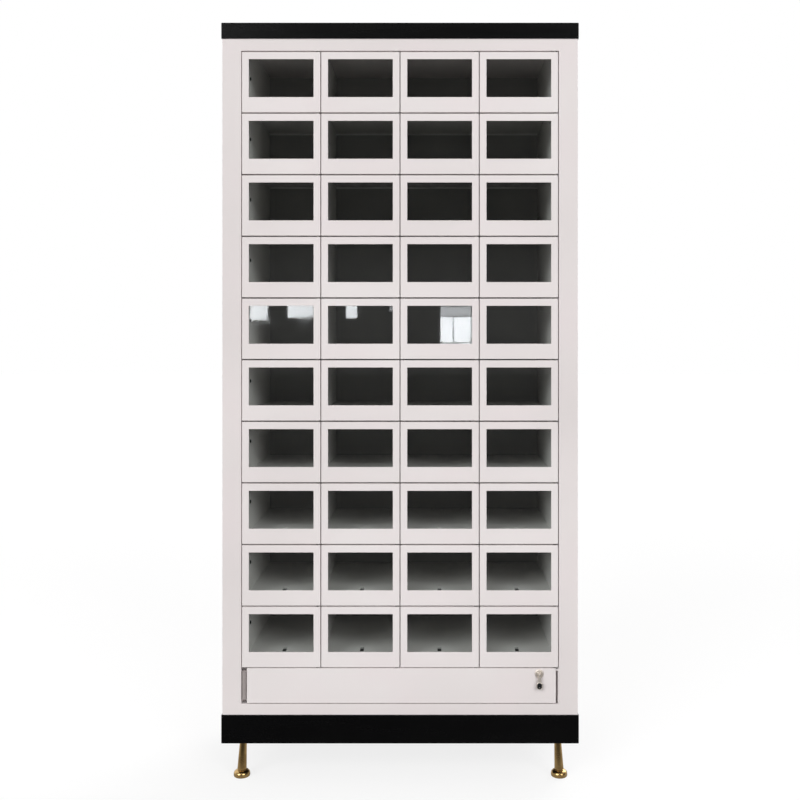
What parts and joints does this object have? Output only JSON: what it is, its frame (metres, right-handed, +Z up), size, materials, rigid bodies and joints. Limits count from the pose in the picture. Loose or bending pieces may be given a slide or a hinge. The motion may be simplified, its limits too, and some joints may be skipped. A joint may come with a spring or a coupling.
{
  "type": "smart parcel locker",
  "caption": "Freestanding parcel locker with a grid of glazed compartment doors, a low locked service door, a dark top cap and plinth, and tapered brass legs.",
  "frame": {"origin": "on the floor, under the centre of the bounding box", "axes": "+Z up, -Y out of the doors, +X to the right as seen from the front"},
  "size_m": [0.905, 0.41, 1.924],
  "materials": {
    "body_paint": "satin off-white powder coat",
    "black_paint": "black semi-gloss paint",
    "interior_paint": "off-white powder coat inside the compartments",
    "door_paint": "satin off-white powder coat on the door frames",
    "leg_brass": "polished brass",
    "bracket_steel": "dark plated steel",
    "screw_steel": "zinc plated steel",
    "hinge_steel": "grey plated steel",
    "chrome": "polished chrome",
    "black_plastic": "black plastic",
    "housing_plastic": "dark grey housing"
  },
  "bodies": {
    "cabinet": {"face_frame": "body_paint", "outer_shell": "body_paint", "liner_panels": "interior_paint", "partitions": "interior_paint", "shelves": "interior_paint", "rear_panel": "body_paint", "rear_screws": "screw_steel", "top_cap": "black_paint", "plinth": "black_paint", "legs": "leg_brass", "feet": "leg_brass", "electric_locks": "black_plastic", "sensor_eyes": "black_plastic", "hinge_brackets": "bracket_steel", "service_door_hinge": "hinge_steel", "control_unit": "housing_plastic"},
    "service_door": {"service_door": "body_paint", "cam_lock": "chrome"},
    "lock_plug": {"key_and_plug": "chrome"},
    "key_head": {"key_head": "black_plastic"},
    "door_r01_c1": {"door_r01_c1": "door_paint"},
    "door_r01_c2": {"door_r01_c2": "door_paint"},
    "door_r01_c3": {"door_r01_c3": "door_paint"},
    "door_r01_c4": {"door_r01_c4": "door_paint"},
    "door_r02_c1": {"door_r02_c1": "door_paint"},
    "door_r02_c2": {"door_r02_c2": "door_paint"},
    "door_r02_c3": {"door_r02_c3": "door_paint"},
    "door_r02_c4": {"door_r02_c4": "door_paint"},
    "door_r03_c1": {"door_r03_c1": "door_paint"},
    "door_r03_c2": {"door_r03_c2": "door_paint"},
    "door_r03_c3": {"door_r03_c3": "door_paint"},
    "door_r03_c4": {"door_r03_c4": "door_paint"},
    "door_r04_c1": {"door_r04_c1": "door_paint"},
    "door_r04_c2": {"door_r04_c2": "door_paint"},
    "door_r04_c3": {"door_r04_c3": "door_paint"},
    "door_r04_c4": {"door_r04_c4": "door_paint"},
    "door_r05_c1": {"door_r05_c1": "door_paint"},
    "door_r05_c2": {"door_r05_c2": "door_paint"},
    "door_r05_c3": {"door_r05_c3": "door_paint"},
    "door_r05_c4": {"door_r05_c4": "door_paint"},
    "door_r06_c1": {"door_r06_c1": "door_paint"},
    "door_r06_c2": {"door_r06_c2": "door_paint"},
    "door_r06_c3": {"door_r06_c3": "door_paint"},
    "door_r06_c4": {"door_r06_c4": "door_paint"},
    "door_r07_c1": {"door_r07_c1": "door_paint"},
    "door_r07_c2": {"door_r07_c2": "door_paint"},
    "door_r07_c3": {"door_r07_c3": "door_paint"},
    "door_r07_c4": {"door_r07_c4": "door_paint"},
    "door_r08_c1": {"door_r08_c1": "door_paint"},
    "door_r08_c2": {"door_r08_c2": "door_paint"},
    "door_r08_c3": {"door_r08_c3": "door_paint"},
    "door_r08_c4": {"door_r08_c4": "door_paint"},
    "door_r09_c1": {"door_r09_c1": "door_paint"},
    "door_r09_c2": {"door_r09_c2": "door_paint"},
    "door_r09_c3": {"door_r09_c3": "door_paint"},
    "door_r09_c4": {"door_r09_c4": "door_paint"},
    "door_r10_c1": {"door_r10_c1": "door_paint"},
    "door_r10_c2": {"door_r10_c2": "door_paint"},
    "door_r10_c3": {"door_r10_c3": "door_paint"},
    "door_r10_c4": {"door_r10_c4": "door_paint"}
  },
  "joints": [
    {"name": "service_door_swing", "type": "hinge", "parent": "cabinet", "child": "service_door", "pos_m": [-0.3947, -0.188, 0.2465], "axis": [0, 0, -1], "range_deg": [0, 95]},
    {"name": "cam_key_fold", "type": "hinge", "parent": "lock_plug", "child": "key_head", "pos_m": [0.352, -0.2025, 0.277], "axis": [-1, 0, 0], "range_deg": [0, 90]},
    {"name": "cam_lock_turn", "type": "hinge", "parent": "service_door", "child": "lock_plug", "pos_m": [0.352, -0.1925, 0.277], "axis": [0, -1, 0], "range_deg": [0, 90]},
    {"name": "door_r01_c1_swing", "type": "hinge", "parent": "cabinet", "child": "door_r01_c1", "pos_m": [-0.20855, -0.1885, 1.7733], "axis": [0, 0, 1], "range_deg": [0, 95]},
    {"name": "door_r01_c2_swing", "type": "hinge", "parent": "cabinet", "child": "door_r01_c2", "pos_m": [-0.0081, -0.1885, 1.7733], "axis": [0, 0, 1], "range_deg": [0, 95]},
    {"name": "door_r01_c3_swing", "type": "hinge", "parent": "cabinet", "child": "door_r01_c3", "pos_m": [0.19235, -0.1885, 1.7733], "axis": [0, 0, 1], "range_deg": [0, 95]},
    {"name": "door_r01_c4_swing", "type": "hinge", "parent": "cabinet", "child": "door_r01_c4", "pos_m": [0.3928, -0.1885, 1.7733], "axis": [0, 0, 1], "range_deg": [0, 95]},
    {"name": "door_r02_c1_swing", "type": "hinge", "parent": "cabinet", "child": "door_r02_c1", "pos_m": [-0.20855, -0.1885, 1.6173], "axis": [0, 0, 1], "range_deg": [0, 95]},
    {"name": "door_r02_c2_swing", "type": "hinge", "parent": "cabinet", "child": "door_r02_c2", "pos_m": [-0.0081, -0.1885, 1.6173], "axis": [0, 0, 1], "range_deg": [0, 95]},
    {"name": "door_r02_c3_swing", "type": "hinge", "parent": "cabinet", "child": "door_r02_c3", "pos_m": [0.19235, -0.1885, 1.6173], "axis": [0, 0, 1], "range_deg": [0, 95]},
    {"name": "door_r02_c4_swing", "type": "hinge", "parent": "cabinet", "child": "door_r02_c4", "pos_m": [0.3928, -0.1885, 1.6173], "axis": [0, 0, 1], "range_deg": [0, 95]},
    {"name": "door_r03_c1_swing", "type": "hinge", "parent": "cabinet", "child": "door_r03_c1", "pos_m": [-0.20855, -0.1885, 1.4613], "axis": [0, 0, 1], "range_deg": [0, 95]},
    {"name": "door_r03_c2_swing", "type": "hinge", "parent": "cabinet", "child": "door_r03_c2", "pos_m": [-0.0081, -0.1885, 1.4613], "axis": [0, 0, 1], "range_deg": [0, 95]},
    {"name": "door_r03_c3_swing", "type": "hinge", "parent": "cabinet", "child": "door_r03_c3", "pos_m": [0.19235, -0.1885, 1.4613], "axis": [0, 0, 1], "range_deg": [0, 95]},
    {"name": "door_r03_c4_swing", "type": "hinge", "parent": "cabinet", "child": "door_r03_c4", "pos_m": [0.3928, -0.1885, 1.4613], "axis": [0, 0, 1], "range_deg": [0, 95]},
    {"name": "door_r04_c1_swing", "type": "hinge", "parent": "cabinet", "child": "door_r04_c1", "pos_m": [-0.20855, -0.1885, 1.3053], "axis": [0, 0, 1], "range_deg": [0, 95]},
    {"name": "door_r04_c2_swing", "type": "hinge", "parent": "cabinet", "child": "door_r04_c2", "pos_m": [-0.0081, -0.1885, 1.3053], "axis": [0, 0, 1], "range_deg": [0, 95]},
    {"name": "door_r04_c3_swing", "type": "hinge", "parent": "cabinet", "child": "door_r04_c3", "pos_m": [0.19235, -0.1885, 1.3053], "axis": [0, 0, 1], "range_deg": [0, 95]},
    {"name": "door_r04_c4_swing", "type": "hinge", "parent": "cabinet", "child": "door_r04_c4", "pos_m": [0.3928, -0.1885, 1.3053], "axis": [0, 0, 1], "range_deg": [0, 95]},
    {"name": "door_r05_c1_swing", "type": "hinge", "parent": "cabinet", "child": "door_r05_c1", "pos_m": [-0.20855, -0.1885, 1.1493], "axis": [0, 0, 1], "range_deg": [0, 95]},
    {"name": "door_r05_c2_swing", "type": "hinge", "parent": "cabinet", "child": "door_r05_c2", "pos_m": [-0.0081, -0.1885, 1.1493], "axis": [0, 0, 1], "range_deg": [0, 95]},
    {"name": "door_r05_c3_swing", "type": "hinge", "parent": "cabinet", "child": "door_r05_c3", "pos_m": [0.19235, -0.1885, 1.1493], "axis": [0, 0, 1], "range_deg": [0, 95]},
    {"name": "door_r05_c4_swing", "type": "hinge", "parent": "cabinet", "child": "door_r05_c4", "pos_m": [0.3928, -0.1885, 1.1493], "axis": [0, 0, 1], "range_deg": [0, 95]},
    {"name": "door_r06_c1_swing", "type": "hinge", "parent": "cabinet", "child": "door_r06_c1", "pos_m": [-0.20855, -0.1885, 0.9933], "axis": [0, 0, 1], "range_deg": [0, 95]},
    {"name": "door_r06_c2_swing", "type": "hinge", "parent": "cabinet", "child": "door_r06_c2", "pos_m": [-0.0081, -0.1885, 0.9933], "axis": [0, 0, 1], "range_deg": [0, 95]},
    {"name": "door_r06_c3_swing", "type": "hinge", "parent": "cabinet", "child": "door_r06_c3", "pos_m": [0.19235, -0.1885, 0.9933], "axis": [0, 0, 1], "range_deg": [0, 95]},
    {"name": "door_r06_c4_swing", "type": "hinge", "parent": "cabinet", "child": "door_r06_c4", "pos_m": [0.3928, -0.1885, 0.9933], "axis": [0, 0, 1], "range_deg": [0, 95]},
    {"name": "door_r07_c1_swing", "type": "hinge", "parent": "cabinet", "child": "door_r07_c1", "pos_m": [-0.20855, -0.1885, 0.8373], "axis": [0, 0, 1], "range_deg": [0, 95]},
    {"name": "door_r07_c2_swing", "type": "hinge", "parent": "cabinet", "child": "door_r07_c2", "pos_m": [-0.0081, -0.1885, 0.8373], "axis": [0, 0, 1], "range_deg": [0, 95]},
    {"name": "door_r07_c3_swing", "type": "hinge", "parent": "cabinet", "child": "door_r07_c3", "pos_m": [0.19235, -0.1885, 0.8373], "axis": [0, 0, 1], "range_deg": [0, 95]},
    {"name": "door_r07_c4_swing", "type": "hinge", "parent": "cabinet", "child": "door_r07_c4", "pos_m": [0.3928, -0.1885, 0.8373], "axis": [0, 0, 1], "range_deg": [0, 95]},
    {"name": "door_r08_c1_swing", "type": "hinge", "parent": "cabinet", "child": "door_r08_c1", "pos_m": [-0.20855, -0.1885, 0.6813], "axis": [0, 0, 1], "range_deg": [0, 95]},
    {"name": "door_r08_c2_swing", "type": "hinge", "parent": "cabinet", "child": "door_r08_c2", "pos_m": [-0.0081, -0.1885, 0.6813], "axis": [0, 0, 1], "range_deg": [0, 95]},
    {"name": "door_r08_c3_swing", "type": "hinge", "parent": "cabinet", "child": "door_r08_c3", "pos_m": [0.19235, -0.1885, 0.6813], "axis": [0, 0, 1], "range_deg": [0, 95]},
    {"name": "door_r08_c4_swing", "type": "hinge", "parent": "cabinet", "child": "door_r08_c4", "pos_m": [0.3928, -0.1885, 0.6813], "axis": [0, 0, 1], "range_deg": [0, 95]},
    {"name": "door_r09_c1_swing", "type": "hinge", "parent": "cabinet", "child": "door_r09_c1", "pos_m": [-0.20855, -0.1885, 0.5253], "axis": [0, 0, 1], "range_deg": [0, 95]},
    {"name": "door_r09_c2_swing", "type": "hinge", "parent": "cabinet", "child": "door_r09_c2", "pos_m": [-0.0081, -0.1885, 0.5253], "axis": [0, 0, 1], "range_deg": [0, 95]},
    {"name": "door_r09_c3_swing", "type": "hinge", "parent": "cabinet", "child": "door_r09_c3", "pos_m": [0.19235, -0.1885, 0.5253], "axis": [0, 0, 1], "range_deg": [0, 95]},
    {"name": "door_r09_c4_swing", "type": "hinge", "parent": "cabinet", "child": "door_r09_c4", "pos_m": [0.3928, -0.1885, 0.5253], "axis": [0, 0, 1], "range_deg": [0, 95]},
    {"name": "door_r10_c1_swing", "type": "hinge", "parent": "cabinet", "child": "door_r10_c1", "pos_m": [-0.20855, -0.1885, 0.3693], "axis": [0, 0, 1], "range_deg": [0, 95]},
    {"name": "door_r10_c2_swing", "type": "hinge", "parent": "cabinet", "child": "door_r10_c2", "pos_m": [-0.0081, -0.1885, 0.3693], "axis": [0, 0, 1], "range_deg": [0, 95]},
    {"name": "door_r10_c3_swing", "type": "hinge", "parent": "cabinet", "child": "door_r10_c3", "pos_m": [0.19235, -0.1885, 0.3693], "axis": [0, 0, 1], "range_deg": [0, 95]},
    {"name": "door_r10_c4_swing", "type": "hinge", "parent": "cabinet", "child": "door_r10_c4", "pos_m": [0.3928, -0.1885, 0.3693], "axis": [0, 0, 1], "range_deg": [0, 95]}
  ]
}
